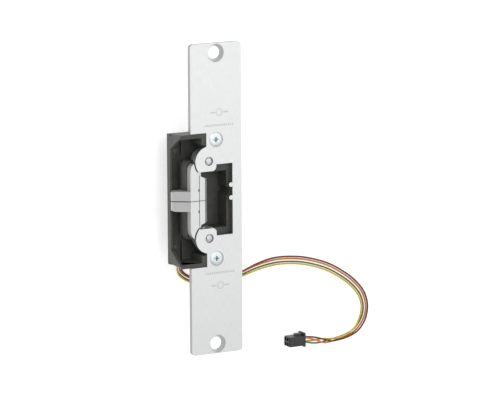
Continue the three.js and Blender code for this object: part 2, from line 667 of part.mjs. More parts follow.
function solenoidScrew() {
  const y = TAB.screwY;
  return join(
    post(TAB.screwX, y, 9.9, TAB.z0 - GAP, 1.6, 2, 14),
    post(TAB.screwX, y, 10.5, 14.3, 1, 1, 8),
  ).subtract(box(TAB.screwX - 1.1, TAB.screwX + 1.1, y - 0.3, y + 0.3, 9, 10.4));
}

function poleCore() {
  return join(
    rod(0, AXIS_Z, YOKE.x0 - 0.2, -13.4, 1.2, 1.2, 12),
    rod(0, AXIS_Z, -13.5, -12.2, 2),
  );
}

// A ring about the solenoid's axis.
function ring(x0, x1, inner, outer) {
  return rod(0, AXIS_Z, x0, x1, outer, outer, 24).subtract(rod(0, AXIS_Z, x0 - 1, x1 + 1, inner));
}

function bobbin() {
  const bore = PLUNGER.r + 0.35;
  return join(
    ring(-13.4, -2, bore, COIL.inner - GAP),
    ring(-13.4, COIL.x0 - GAP, bore, COIL.outer),
    ring(COIL.x1 + GAP, -2, bore, COIL.outer),
  );
}

function plunger() {
  return join(
    rod(0, AXIS_Z, PLUNGER.x0, PLUNGER.shoulder, PLUNGER.r),
    rod(0, AXIS_Z, PLUNGER.shoulder - 0.5, PLUNGER.headX + 0.3, PLUNGER.neck, PLUNGER.neck, 12),
    rod(0, AXIS_Z, PLUNGER.headX, PLUNGER.x1, PLUNGER.r),
  );
}

function plungerSpring() {
  const radius = 2.95;
  const turns = 4;
  const perTurn = 9;
  const [x0, x1] = [0.45, 5.2];
  const points = [];
  for (let i = 0; i <= turns * perTurn; i += 1) {
    const angle = (i / perTurn) * Math.PI * 2;
    const x = x0 + ((x1 - x0) * i) / (turns * perTurn);
    points.push([x, radius * Math.cos(angle), AXIS_Z + radius * Math.sin(angle)]);
  }
  return wire(points, 0.28, 40, 5);
}

// ---------------------------------------------------------------- leads and connector

const LEADS = ['brown', 'orange', 'green', 'yellow'];

// Each lead's place in the two-by-two bunch that leaves the box, in pitches.
const BUNCH = { brown: [0.5, 0.5], orange: [0.5, -0.5], green: [-0.5, -0.5], yellow: [-0.5, 0.5] };

function bunchPlace(colour, pitch = LEAD_PITCH) {
  const [across, up] = BUNCH[colour];
  return { x: EXIT.x + across * pitch, z: EXIT.z + up * pitch };
}

function grommet() {
  const { halfX, halfZ, flange, outer } = GROMMET;
  const wallOut = -BOX.rearY - GAP;
  const wallIn = -CHAMBER.y + GAP;
  return join(
    box(EXIT.x - halfX, EXIT.x + halfX, wallOut - 0.2, wallIn + 0.2, EXIT.z - halfZ + 0.15, EXIT.z + halfZ),
    box(EXIT.x - halfX - flange, EXIT.x + halfX + flange, outer, wallOut,
      EXIT.z - halfZ - flange, EXIT.z + halfZ + flange),
    box(EXIT.x - halfX + GAP, EXIT.x + halfX, wallIn, wallIn + 1, EXIT.z - halfZ + 0.15,
      EXIT.z + halfZ + flange),
  );
}

// Inside the box: from beside the coil, out of the yoke's notch, to the grommet's inner face.
function innerLead(colour) {
  const { x, z } = bunchPlace(colour, 1.3);
  const slack = (BUNCH[colour][0] + BUNCH[colour][1]) * 0.3;
  return wire([
    [x, -4.4, z], [x, -9, z], [x + slack, -17, z], [x, -25, z], [x, -CHAMBER.y + GAP + 1.3, z],
  ], 0.5, 12, 6);
}

// Middle of the bundle on the bench: [x, y, how far it has fanned out, 0 to 1].
const BUNDLE = [
  [-9.8, -40.2, 0], [-10.2, -42.6, 0], [-12, -45.2, 0.1], [-13.2, -48.2, 0.3], [-12, -51.8, 0.4],
  [-9, -54.6, 0.4], [-5.2, -56.8, 0.4], [0.6, -59.2, 0.3], [8, -61.2, 0.2], [16, -61.4, 0.2],
  [24.4, -59.8, 0.25], [33.7, -56.9, 0.35], [43.5, -53.9, 0.6], [53.2, -52, 0.9], [60.9, -51.4, 1],
  [69.9, -51.9, 1], [78.2, -53.1, 1], [86.6, -55.3, 1], [95.1, -58.3, 1], [101.4, -61.4, 1],
  [107.2, -65, 1], [113.1, -69.2, 1], [118.4, -74.1, 1], [121.9, -78.4, 1], [124.3, -83.4, 1],
  [125.3, -88.3, 1], [124.8, -93.5, 1], [122.7, -98.4, 0.8], [118.5, -103.3, 0.45],
  [112.1, -106.7, 0.15], [104.8, -108.4, 0], [98.7, -108.8, 0], [92.7, -108.3, 0],
  [85.6, -107, 0], [PLUG.x1 + 0.4, PLUG.y, 0],
];

const ease = (t) => Math.min(1, Math.max(0, t)) ** 2 * (3 - 2 * Math.min(1, Math.max(0, t)));

// How far the bunch has risen and turned over towards the connector, 0 to 1.
const arrival = (step) => ease((step - BUNDLE.length + 5) / 4);

// Height of the bunch above the bench: it drops from the grommet, and lifts to the connector.
function bunchHeight(step) {
  const down = ease((step - 1) / 3);
  const up = arrival(step);
  const resting = (LEAD_D + LEAD_PITCH) / 2 + 0.08;
  return EXIT.z * (1 - down) + resting * down * (1 - up) + (PLUG.height / 2) * up;
}

function leadRoute(colour) {
  const [across, up] = BUNCH[colour];
  return BUNDLE.map(([x, y, fan], i) => {
    const before = BUNDLE[Math.max(0, i - 1)];
    const after = BUNDLE[Math.min(BUNDLE.length - 1, i + 1)];
    const along = new THREE.Vector2(after[0] - before[0], after[1] - before[1]).normalize();
    // Fanned out, the upper pair rolls down off the lower pair to lie outside it.
    const roll = up > 0 ? (Math.PI / 2) * fan : Math.PI / 2;
    const outward = Math.sign(across);
    const flat = up > 0 ? across + outward * Math.sin(roll) : across;
    // At the connector the bunch has turned half round and opened to the pitch of the cavities.
    const pitch = LEAD_PITCH + (CAVITY_PITCH - LEAD_PITCH) * arrival(i);
    const place = new THREE.Vector2(flat, Math.cos(roll) - 0.5).multiplyScalar(pitch);
    place.x += outward * fan * PAIR_GAP;
    place.rotateAround(new THREE.Vector2(), Math.PI * arrival(i));
    return [x - along.y * place.x, y + along.x * place.x, bunchHeight(i) + place.y];
  });
}

const lead = (colour) => wire(leadRoute(colour), LEAD_D / 2, 68);

// Two-by-two crimp housing, open at the mating end, with a locking ramp along its side.
function connectorHousing() {
  const { x0, x1, y, width, height } = PLUG;
  const half = width / 2;
  let body = join(
    box(x0 + 0.6, x1 - 1.2, y - half, y + half, 0.15, height),
    box(x0, x0 + 0.7, y - half + 0.5, y + half - 0.5, 0.6, height - 0.5),
    box(x1 - 1.3, x1, y - half - 0.8, y + half + 2, 0, height + 0.2),
    box(x0 + 6.2, x1 - 1.2, y + half - 0.1, y + half + 1.4, 2, height - 2),
  );
  for (const colour of LEADS) {
    const { cy, cz } = cavity(colour);
    body = body.subtract(box(x0 - 1, x1 + 1, cy - 1.1, cy + 1.1, cz - 1.1, cz + 1.1));
  }
  return body;
}

function cavity(colour) {
  const [across, up] = BUNCH[colour];
  return { cy: PLUG.y + across * CAVITY_PITCH, cz: PLUG.height / 2 - up * CAVITY_PITCH };
}

// A crimp terminal: a square socket with a slot, and a narrower barrel behind it.
function terminal(colour) {
  const { cy, cz } = cavity(colour);
  return join(
    box(PLUG.x0 + 1, PLUG.x0 + 7.2, cy - 0.75, cy + 0.75, cz - 0.75, cz + 0.75),
    box(PLUG.x0 + 7, PLUG.x1 - 2, cy - 0.45, cy + 0.45, cz - 0.6, cz + 0.1),
  ).subtract(box(PLUG.x0, PLUG.x0 + 5, cy - 0.4, cy + 0.4, cz - 0.4, cz + 0.4));
}

// ---------------------------------------------------------------- put together

place('faceplate', faceplate(), SATIN_STEEL);
place('lip_housing', lipHousing(), BLACK_CASTING);
place('strike_box', strikeBox(), BLACK_CASTING);
place('rear_cover', rearCover(), STEEL);

placePair('face_screw', faceScrew, ZINC_SCREW);
placePair('lip_rivet', lipRivet, BLACK_CASTING);
placePair('jaw', jaw, CAST_JAW);
placePair('jaw_guard', jawGuard, BLACK_CASTING);
placePair('jaw_insert', jawInsert, CAST_JAW);
placePair('insert_screw', insertScrew, ZINC_SCREW);
placePair('pivot_pin', pivotPin, STEEL);
placePair('retaining_clip', retainingClip, SPRING_STEEL);
placePair('return_spring', returnSpring, SPRING_STEEL);
placePair('lock_arm', lockArm, PASSIVATED);
placePair('guide_screw', guideScrew, ZINC_SCREW);
placePair('solenoid_screw', solenoidScrew, ZINC_SCREW);

place('lock_bar', lockBar(), PASSIVATED);
place('solenoid_yoke', solenoidYoke(), PASSIVATED);
place('pole_core', poleCore(), STEEL);
place('solenoid_bobbin', bobbin(), NYLON);
place('solenoid_coil', ring(COIL.x0, COIL.x1, COIL.inner, COIL.outer - 0.2), COPPER);
place('plunger', plunger(), STEEL);
place('plunger_spring', plungerSpring(), SPRING_STEEL);

['upper_left', 'upper_right', 'lower_left', 'lower_right'].forEach((corner) => {
  const x = corner.endsWith('left') ? -PILLAR.x : PILLAR.x;
  const y = corner.startsWith('upper') ? PILLAR.y : -PILLAR.y;
  place(`cover_screw_${corner}`, coverScrew(x, y), ZINC_SCREW);
});

place('lead_grommet', grommet(), RUBBER);
place('connector_housing', connectorHousing(), BLACK_NYLON);
for (const colour of LEADS) {
  place(`inner_lead_${colour}`, innerLead(colour), INSULATION[colour]);
  place(`lead_${colour}`, lead(colour), INSULATION[colour]);
  place(`terminal_${colour}`, terminal(colour), TINNED);
}

export default strike;
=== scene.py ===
"""Looks for the electric door strike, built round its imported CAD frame. Metres, +Z out of the plate."""

import json
import math

import bmesh
import bpy
from mathutils import Matrix, Vector


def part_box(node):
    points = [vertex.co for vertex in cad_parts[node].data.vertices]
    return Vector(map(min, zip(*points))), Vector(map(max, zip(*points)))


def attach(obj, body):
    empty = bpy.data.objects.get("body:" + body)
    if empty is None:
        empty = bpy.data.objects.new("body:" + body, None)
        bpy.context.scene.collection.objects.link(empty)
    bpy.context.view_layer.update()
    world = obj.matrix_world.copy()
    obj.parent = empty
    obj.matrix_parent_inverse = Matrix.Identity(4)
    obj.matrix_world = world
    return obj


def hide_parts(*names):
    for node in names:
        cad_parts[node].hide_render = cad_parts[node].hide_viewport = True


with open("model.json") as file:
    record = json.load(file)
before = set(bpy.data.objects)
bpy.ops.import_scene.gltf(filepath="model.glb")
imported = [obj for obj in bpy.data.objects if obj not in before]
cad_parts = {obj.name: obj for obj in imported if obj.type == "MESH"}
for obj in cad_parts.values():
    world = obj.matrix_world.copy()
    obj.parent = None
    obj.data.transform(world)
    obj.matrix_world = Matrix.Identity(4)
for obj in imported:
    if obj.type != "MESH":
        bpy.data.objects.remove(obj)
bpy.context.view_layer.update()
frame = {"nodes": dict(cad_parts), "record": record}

MM = 0.001
BODY = {node: body for body, nodes in frame["record"]["behaviour"]["bodies"].items() for node in nodes}
SLOT = {s["node"]: s["material_slot"] for s in frame["record"]["subparts"]}

# ---------------------------------------------------------------- camera

RIGHT = Vector((0.88329, -0.00518, 0.46880))
UP = Vector((0.09213, 0.98236, -0.16273))
BACK = Vector((-0.45968, 0.18693, 0.86819))
AIM = Vector((0.02415, -0.00271, 0.030))      # seen at the middle of the picture
DISTANCE = 2.4
SENSOR = 36.0
LENS = 269.4816

camera = bpy.data.objects.new("camera", bpy.data.cameras.new("camera"))
bpy.context.collection.objects.link(camera)
camera.data.sensor_width = SENSOR
camera.data.lens = LENS
camera.data.clip_end = 20
turn = Matrix((RIGHT, UP, BACK)).transposed().to_4x4()
camera.matrix_world = Matrix.Translation(AIM + BACK * DISTANCE) @ turn
bpy.context.scene.camera = camera

# ---------------------------------------------------------------- routes of the leads, as in the CAD

LEAD_D = 1.15
LEAD_PITCH = 1.45
PAIR_GAP = 0.22
CAVITY_PITCH = 3
EXIT = (-9.8, 3.9)
PLUG = {"x0": 64.7, "x1": 77, "y": -105.6, "width": 6.6, "height": 7.4}
BUNCH = {"brown": (0.5, 0.5), "orange": (0.5, -0.5), "green": (-0.5, -0.5), "yellow": (-0.5, 0.5)}
BUNDLE = [
    (-9.8, -40.2, 0), (-10.2, -42.6, 0), (-12, -45.2, 0.1), (-13.2, -48.2, 0.3), (-12, -51.8, 0.4),
    (-9, -54.6, 0.4), (-5.2, -56.8, 0.4), (0.6, -59.2, 0.3), (8, -61.2, 0.2), (16, -61.4, 0.2),
    (24.4, -59.8, 0.25), (33.7, -56.9, 0.35), (43.5, -53.9, 0.6), (53.2, -52, 0.9), (60.9, -51.4, 1),
    (69.9, -51.9, 1), (78.2, -53.1, 1), (86.6, -55.3, 1), (95.1, -58.3, 1), (101.4, -61.4, 1),
    (107.2, -65, 1), (113.1, -69.2, 1), (118.4, -74.1, 1), (121.9, -78.4, 1), (124.3, -83.4, 1),
    (125.3, -88.3, 1), (124.8, -93.5, 1), (122.7, -98.4, 0.8), (118.5, -103.3, 0.45),
    (112.1, -106.7, 0.15), (104.8, -108.4, 0), (98.7, -108.8, 0), (92.7, -108.3, 0),
    (85.6, -107, 0), (PLUG["x1"] + 0.4, PLUG["y"], 0),
]


def ease(t):
    t = min(1.0, max(0.0, t))
    return t * t * (3 - 2 * t)


def arrival(step):
    """How far the bunch has risen and turned over towards the connector, 0 to 1."""
    return ease((step - len(BUNDLE) + 5) / 4)


def bunch_height(step):
    """Height of the bunch above the bench: it drops from the grommet, and lifts to the connector."""
    down = ease((step - 1) / 3)
    up = arrival(step)
    resting = (LEAD_D + LEAD_PITCH) / 2 + 0.08
    return EXIT[1] * (1 - down) + resting * down * (1 - up) + PLUG["height"] / 2 * up


def lead_points(colour):
    across, up = BUNCH[colour]
    outward = math.copysign(1, across)
    points = []
    for i, (x, y, fan) in enumerate(BUNDLE):
        before, after = BUNDLE[max(0, i - 1)], BUNDLE[min(len(BUNDLE) - 1, i + 1)]
        along = Vector((after[0] - before[0], after[1] - before[1])).normalized()
        roll = math.pi / 2 * fan if up > 0 else math.pi / 2
        flat = across + outward * math.sin(roll) if up > 0 else across
        pitch = LEAD_PITCH + (CAVITY_PITCH - LEAD_PITCH) * arrival(i)
        side, rise = flat * pitch + outward * fan * PAIR_GAP, (math.cos(roll) - 0.5) * pitch
        turned = math.pi * arrival(i)
        offset = side * math.cos(turned) - rise * math.sin(turned)
        lift = side * math.sin(turned) + rise * math.cos(turned)
        points.append(Vector((x - along.y * offset, y + along.x * offset, bunch_height(i) + lift)) * MM)
    return points


def smooth_route(points, steps=10):
    """The centripetal Catmull-Rom curve through the points."""
    ends = [points[0] * 2 - points[1], *points, points[-1] * 2 - points[-2]]
    route = []
    for p0, p1, p2, p3 in zip(ends, ends[1:], ends[2:], ends[3:]):
        d0, d1, d2 = (max((b - a).length ** 0.5, 1e-6) for a, b in ((p0, p1), (p1, p2), (p2, p3)))
        t1 = ((p1 - p0) / d0 - (p2 - p0) / (d0 + d1) + (p2 - p1) / d1) * d1
        t2 = ((p2 - p1) / d1 - (p3 - p1) / (d1 + d2) + (p3 - p2) / d2) * d1
        for k in range(steps):
            t = k / steps
            route.append(p1 + t1 * t + (3 * (p2 - p1) - 2 * t1 - t2) * t ** 2
                         + (2 * (p1 - p2) + t1 + t2) * t ** 3)
    return route + [points[-1]]


# ---------------------------------------------------------------- materials


class Graph:
    """A node material built round one Principled shader, textured in object space, in millimetres."""

    def __init__(self, name, **uniform):
        self.material = bpy.data.materials.new(name)
        self.material.use_nodes = True
        self.nodes = self.material.node_tree.nodes
        self.links = self.material.node_tree.links
        self.shader = self.nodes["Principled BSDF"]
        for socket, value in uniform.items():
            self.shader.inputs[socket.replace("_", " ")].default_value = value
        place = self.node("ShaderNodeTexCoord").outputs["Object"]
        scale = self.node("ShaderNodeVectorMath", operation="SCALE")
        scale.inputs["Scale"].default_value = 1000
        self.links.new(place, scale.inputs[0])
        self.mm = scale.outputs[0]

    def node(self, kind, **settings):
        node = self.nodes.new(kind)
        for key, value in settings.items():
            setattr(node, key, value)
        return node

    def plug(self, value, socket):
        if isinstance(value, (int, float)):
            socket.default_value = value
        elif isinstance(value, tuple):
            socket.default_value = value if len(value) != 3 or socket.type == "VECTOR" else (*value, 1)
        else:
            self.links.new(value, socket)

    def stretched(self, x=1, y=1, z=1):
        node = self.node("ShaderNodeVectorMath", operation="MULTIPLY")
        self.links.new(self.mm, node.inputs[0])
        node.inputs[1].default_value = (x, y, z)
        return node.outputs[0]

    def noise(self, per_mm, detail=3, stretch=(1, 1, 1), rough=0.55):
        node = self.node("ShaderNodeTexNoise")
        self.links.new(self.stretched(*stretch), node.inputs["Vector"])
        node.inputs["Scale"].default_value = per_mm
        node.inputs["Detail"].default_value = detail
        node.inputs["Roughness"].default_value = rough
        return node.outputs[0]

    def cells(self, per_mm):
        node = self.node("ShaderNodeTexVoronoi")
        self.links.new(self.mm, node.inputs["Vector"])
        node.inputs["Scale"].default_value = per_mm
        return node.outputs["Distance"]

    def math(self, operation, a, b=0.0):
        node = self.node("ShaderNodeMath", operation=operation)
        self.plug(a, node.inputs[0])
        self.plug(b, node.inputs[1])
        return node.outputs[0]

    def remap(self, value, low, high, to_low=0.0, to_high=1.0):
        node = self.node("ShaderNodeMapRange", interpolation_type="SMOOTHSTEP")
        self.plug(value, node.inputs[0])
        for i, number in enumerate((low, high, to_low, to_high)):
            node.inputs[i + 1].default_value = number
        return node.outputs[0]

    def blend(self, factor, a, b):
        node = self.node("ShaderNodeMix", data_type="RGBA")
        self.plug(factor, node.inputs[0])
        self.plug(a, node.inputs[6])
        self.plug(b, node.inputs[7])
        return node.outputs[2]

    def bump(self, height, depth_mm, strength=1.0, under=None):
        node = self.node("ShaderNodeBump")
        node.inputs["Strength"].default_value = strength
        node.inputs["Distance"].default_value = depth_mm * MM
        self.plug(height, node.inputs["Height"])
        if under is not None:
            self.plug(under, node.inputs["Normal"])
        return node.outputs[0]

    def side_faces(self):
        """1 on faces that stand along the plate's thickness, 0 on its front and back: the mask by which shade
        is painted onto the walls.
        """
        parts = self.node("ShaderNodeSeparateXYZ")
        self.links.new(self.node("ShaderNodeTexCoord").outputs["Normal"], parts.inputs[0])
        return self.remap(self.math("ABSOLUTE", parts.outputs[2]), 0.25, 0.7, 1, 0)

    def finish(self, colour, roughness, normal=None):
        self.plug(colour, self.shader.inputs["Base Color"])
        self.plug(roughness, self.shader.inputs["Roughness"])
        if normal is not None:
            self.plug(normal, self.shader.inputs["Normal"])
        return self.material


MARK = {"x": 2.4, "ring_y": 56.2, "ring_r": 2.1, "line": 0.28, "bar": (2.9, 6.4), "bar_half": 0.42,
        "row_y": 47.9, "row_half": 0.62, "row_reach": 10.3, "ticks_per_mm": 0.72, "tick_share": 0.62}
MARK_SHIFT = 20.5      # keeps the ticks' count above zero, where the fraction is taken


def etched_mark(g, side):
    """Mask of a plain generic mark etched in the plate: a ring between two bars over a dashed line."""
    parts = g.node("ShaderNodeSeparateXYZ")
    g.links.new(g.mm, parts.inputs[0])
    x = g.math("SUBTRACT", parts.outputs[0], MARK["x"])
    y = g.math("MULTIPLY", parts.outputs[1], side)
    from_ring = g.math("SUBTRACT", y, MARK["ring_y"])
    squares = g.math("ADD", g.math("MULTIPLY", x, x), g.math("MULTIPLY", from_ring, from_ring))
    off_circle = g.math("ABSOLUTE", g.math("SUBTRACT", g.math("SQRT", squares), MARK["ring_r"]))
    ring = g.math("LESS_THAN", off_circle, MARK["line"])
    reach = g.math("ABSOLUTE", x)
    inner, outer = MARK["bar"]
    wing = g.math("MULTIPLY", g.math("GREATER_THAN", reach, inner), g.math("LESS_THAN", reach, outer))
    bars = g.math("MULTIPLY", wing, g.math("LESS_THAN", g.math("ABSOLUTE", from_ring), MARK["bar_half"]))
    count = g.math("ADD", g.math("MULTIPLY", x, MARK["ticks_per_mm"]), MARK_SHIFT)
    tick = g.math("LESS_THAN", g.math("FRACT", count), MARK["tick_share"])
    off_row = g.math("ABSOLUTE", g.math("SUBTRACT", y, MARK["row_y"]))
    row = g.math("LESS_THAN", off_row, MARK["row_half"])
    dashes = g.math("MULTIPLY", g.math("MULTIPLY", tick, row), g.math("LESS_THAN", reach, MARK["row_reach"]))
    return g.math("MAXIMUM", g.math("MAXIMUM", ring, bars), dashes)


def satin_plate():
    g = Graph("satin_plate")
    grain = g.noise(5, 4, (1, 0.045, 1))
    cloud = g.noise(0.06, 3)
    speck = g.noise(3.5, 2)
    tone = g.blend(cloud, (0.825, 0.835, 0.835), (0.86, 0.87, 0.87))
    tone = g.blend(g.remap(grain, 0.35, 0.7, 0, 0.35), tone, (0.69, 0.70, 0.71))
    mark = g.math("MAXIMUM", etched_mark(g, 1), etched_mark(g, -1))
    tone = g.blend(g.math("MULTIPLY", mark, 0.5), tone, (0.50, 0.51, 0.51))
    # Painted shade: the plate's cut edges are darkened in colour and made less metallic, standing in for the
    # shadow they lie in and the dark pocket they reflect.
    painted_shade_walls = g.side_faces()
    tone = g.blend(g.math("MULTIPLY", painted_shade_walls, 0.72), tone, (0.20, 0.20, 0.195))
    g.plug(g.remap(painted_shade_walls, 0, 1, 0.92, 0.75), g.shader.inputs["Metallic"])
    rough = g.math("ADD", g.remap(grain, 0.3, 0.7, 0.34, 0.46), g.math("MULTIPLY", mark, 0.12))
    fine = g.bump(speck, 0.012, 0.5, g.bump(grain, 0.02, 0.6))
    etched = g.bump(g.math("SUBTRACT", 1.0, mark), 0.03, 0.6, fine)
    return g.finish(tone, rough, etched)


def cast_jaw():
    g = Graph("cast_jaw")
    peen = g.noise(1.3, 4)
    pores = g.cells(1.1)
    cloud = g.noise(0.09, 3)
    tone = g.blend(cloud, (0.75, 0.755, 0.755), (0.84, 0.845, 0.84))
    tone = g.blend(g.remap(pores, 0.02, 0.16, 0.4, 0), tone, (0.46, 0.46, 0.45))
    # Painted shade: the jaw's side faces are darkened in colour and made less metallic, standing in for the
    # shade they lie in and the dark pocket they reflect.
    painted_shade_walls = g.side_faces()
    tone = g.blend(g.math("MULTIPLY", painted_shade_walls, 0.55), tone, (0.34, 0.34, 0.33))
    g.plug(g.remap(painted_shade_walls, 0, 1, 0.88, 0.55), g.shader.inputs["Metallic"])
    rough = g.remap(peen, 0.3, 0.7, 0.36, 0.52)
    normal = g.bump(peen, 0.05, 0.5, g.bump(g.remap(pores, 0.0, 0.14), 0.03, 0.4))
    return g.finish(tone, rough, normal)


def black_casting():
    g = Graph("black_casting", Specular_IOR_Level=0.3)
    peel = g.noise(1.6, 3)
    dust = g.noise(0.12, 5, rough=0.65)
    scuff = g.noise(2.6, 4, (1, 0.25, 1), 0.7)
    tone = g.blend(g.remap(dust, 0.35, 0.75), (0.074, 0.076, 0.069), (0.108, 0.110, 0.098))
    tone = g.blend(g.remap(scuff, 0.66, 0.76, 0, 0.5), tone, (0.19, 0.19, 0.18))
    rough = g.math("ADD", g.remap(dust, 0.3, 0.7, 0.40, 0.52), g.remap(peel, 0.3, 0.7, -0.03, 0.03))
    return g.finish(tone, rough, g.bump(peel, 0.05, 0.55))


def zinc_screw():
    g = Graph("zinc_screw", Metallic=1.0)
    turned = g.noise(4, 3, (1, 1, 0.3))
    tint = g.noise(0.55, 2)
    tone = g.blend(g.remap(tint, 0.35, 0.65), (0.70, 0.78, 0.82), (0.82, 0.85, 0.83))
    tone = g.blend(g.remap(turned, 0.6, 0.8, 0, 0.4), tone, (0.55, 0.63, 0.70))
    return g.finish(tone, g.remap(turned, 0.3, 0.7, 0.24, 0.36), g.bump(turned, 0.015, 0.4))


def bare_steel(name, light, dark, low, high, stretch):
    g = Graph(name, Metallic=1.0)
    rolled = g.noise(3, 4, stretch)
    stain = g.noise(0.14, 4)
    tone = g.blend(g.remap(stain, 0.3, 0.75), light, dark)
    tone = g.blend(g.remap(rolled, 0.62, 0.8, 0, 0.5), tone, tuple(0.7 * c for c in dark))
    return g.finish(tone, g.remap(rolled, 0.3, 0.7, low, high), g.bump(rolled, 0.02, 0.5))


def passivated():
    g = Graph("passivated", Metallic=0.95)
    drift = g.noise(0.22, 4)
    band = g.noise(0.7, 2)
    tone = g.blend(g.remap(drift, 0.32, 0.68), (0.66, 0.55, 0.26), (0.60, 0.62, 0.40))
    tone = g.blend(g.remap(band, 0.55, 0.75, 0, 0.5), tone, (0.66, 0.42, 0.40))
    sheet = g.noise(4, 3, (1, 0.1, 1))
    return g.finish(tone, g.remap(sheet, 0.3, 0.7, 0.3, 0.42), g.bump(sheet, 0.015, 0.5))


def winding():
    g = Graph("coil_tape", Metallic=0.55, Coat_Weight=0.4, Coat_Roughness=0.2)
    strand = g.noise(0.9, 3, (0.3, 1, 1))
    tone = g.blend(g.remap(strand, 0.3, 0.7), (0.46, 0.16, 0.06), (0.62, 0.25, 0.10))
    return g.finish(tone, g.remap(strand, 0.3, 0.7, 0.3, 0.42), g.bump(strand, 0.02, 0.5))


def moulded(name, light, dark, low, high, texture=2.4):
    g = Graph(name)
    spark = g.noise(texture, 3)
    cloud = g.noise(0.2, 3)
    tone = g.blend(g.remap(cloud, 0.3, 0.7), light, dark)
    rough = g.math("ADD", g.remap(cloud, 0.3, 0.7, low, high), g.remap(spark, 0.3, 0.7, -0.03, 0.04))
    return g.finish(tone, rough, g.bump(spark, 0.02, 0.6))


def insulation(colour, light, dark):
    """Extruded insulation: slightly uneven in colour along its length, with faint drawing lines."""
    g = Graph("wire_" + colour, Specular_IOR_Level=0.5)
    drift = g.noise(0.12, 3)
    draw = g.noise(1.8, 3)
    tone = g.blend(g.remap(drift, 0.3, 0.7), light, dark)
    tone = g.blend(g.remap(draw, 0.6, 0.8, 0, 0.25), tone, tuple(0.72 * c for c in dark))
    return g.finish(tone, g.remap(draw, 0.3, 0.7, 0.36, 0.5), g.bump(draw, 0.02, 0.4))


MATERIALS = {
    "satin_plate": satin_plate(),
    "cast_jaw": cast_jaw(),
    "black_casting": black_casting(),
    "cover_steel": bare_steel("cover_steel", (0.66, 0.67, 0.68), (0.52, 0.53, 0.54), 0.34, 0.48,
                              (1, 0.06, 1)),
    "zinc_screw": zinc_screw(),
    "steel": bare_steel("steel", (0.68, 0.69, 0.70), (0.58, 0.59, 0.60), 0.28, 0.40, (1, 1, 0.15)),
    "spring_steel": bare_steel("spring_steel", (0.50, 0.51, 0.53), (0.36, 0.37, 0.39), 0.26, 0.38,
                               (0.3, 1, 1)),
    "passivated": passivated(),
    "coil_tape": winding(),
    "bobbin_nylon": moulded("bobbin_nylon", (0.80, 0.77, 0.69), (0.74, 0.70, 0.60), 0.42, 0.52),
    "connector_nylon": moulded("connector_nylon", (0.034, 0.034, 0.035), (0.05, 0.05, 0.05), 0.36, 0.48),
    "grommet_rubber": moulded("grommet_rubber", (0.030, 0.030, 0.030), (0.045, 0.044, 0.042), 0.7, 0.85, 1.5),
    "terminal_tin": bare_steel("terminal_tin", (0.78, 0.72, 0.58), (0.66, 0.58, 0.42), 0.25, 0.38,
                               (0.1, 1, 1)),
    "wire_brown": insulation("brown", (0.20, 0.045, 0.030), (0.15, 0.032, 0.022)),
    "wire_orange": insulation("orange", (0.74, 0.30, 0.085), (0.66, 0.24, 0.06)),
    "wire_green": insulation("green", (0.15, 0.22, 0.075), (0.11, 0.17, 0.055)),
    "wire_yellow": insulation("yellow", (0.78, 0.60, 0.10), (0.70, 0.51, 0.07)),
}

# ---------------------------------------------------------------- pieces

SHARP_ANGLE = 28
FLAT_ANGLE = 0.8
WELD = 2e-6
CAST_EDGE = 0.22
TURNED_EDGE = 0.05
SCREW_EDGE = 0.07
SCREW = {"shank_r": 1.5, "thread_pitch": 0.8, "thread_depth": 0.22, "thread_end": 16.6, "tip": 16.2}
RECESS = {"reach": 1.9, "half": 0.5, "depth": 2.1, "taper": 0.35, "above": 0.6}
PIN = {"shank_r": 1.5, "groove_r": 1.05, "groove": (5.12, 5.98), "groove_edge": 0.07}
RIVET_HEAD = {"r": 2.1, "rise": 0.8, "steps": 8}
WINDING = {"wire_r": 0.21, "layers": 3, "per_turn": 20, "first_r": 3.45}
LEAD_IN_BOX = 1.2
LEAD_IN_PLUG = 2.4


def stand_for(piece, node):
    """The piece takes the node's place: its body, and the material of its slot."""
    piece.data.materials.clear()
    piece.data.materials.append(MATERIALS[SLOT[node]])
    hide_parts(node)
    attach(piece, BODY[node])
    return piece


def new_object(name, data):
    piece = bpy.data.objects.new(name, data)
    bpy.context.collection.objects.link(piece)
    return piece


def ease_edges(piece, width):
    """Breaks the piece's sharp edges by width, and keeps its flat faces flat in the light."""
    bevel = piece.modifiers.new("broken_edges", "BEVEL")
    bevel.width = width * MM
    bevel.segments = 2
    bevel.limit_method = "ANGLE"
    bevel.angle_limit = math.radians(SHARP_ANGLE)
    bevel.use_clamp_overlap = True
    normals = piece.modifiers.new("face_weighted", "WEIGHTED_NORMAL")
    normals.mode = "FACE_AREA"
    normals.weight = 80


def rounded_copy(node):
    """The node's own shape, its flat faces made whole and its edges broken as on the real piece."""
    bm = bmesh.new()
    bm.from_mesh(frame["nodes"][node].data)
    bmesh.ops.remove_doubles(bm, verts=bm.verts, dist=WELD)
    bmesh.ops.dissolve_limit(bm, angle_limit=math.radians(FLAT_ANGLE), verts=bm.verts, edges=bm.edges)
    bmesh.ops.recalc_face_normals(bm, faces=bm.faces)
    for face in bm.faces:
        face.smooth = True
    mesh = bpy.data.meshes.new(node + "_skin")
    bm.to_mesh(mesh)
    bm.free()
    if "custom_normal" in mesh.attributes:
        mesh.attributes.remove(mesh.attributes["custom_normal"])
    piece = new_object(node + "_skin", mesh)
    ease_edges(piece, CAST_EDGE)
    return stand_for(piece, node)


def wire_curve(name, route, radius):
    data = bpy.data.curves.new(name, "CURVE")
    data.dimensions = "3D"
    data.bevel_depth = radius
    data.bevel_resolution = 4
    data.use_fill_caps = True
    spline = data.splines.new("POLY")
    spline.points.add(len(route) - 1)
    for point, place in zip(spline.points, route):
        point.co = (*place, 1)
    spline.use_smooth = True
    return new_object(name, data)


def middle_of(node):
    low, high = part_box(node)
    return [(a + b) / 2 / MM for a, b in zip(low, high)]


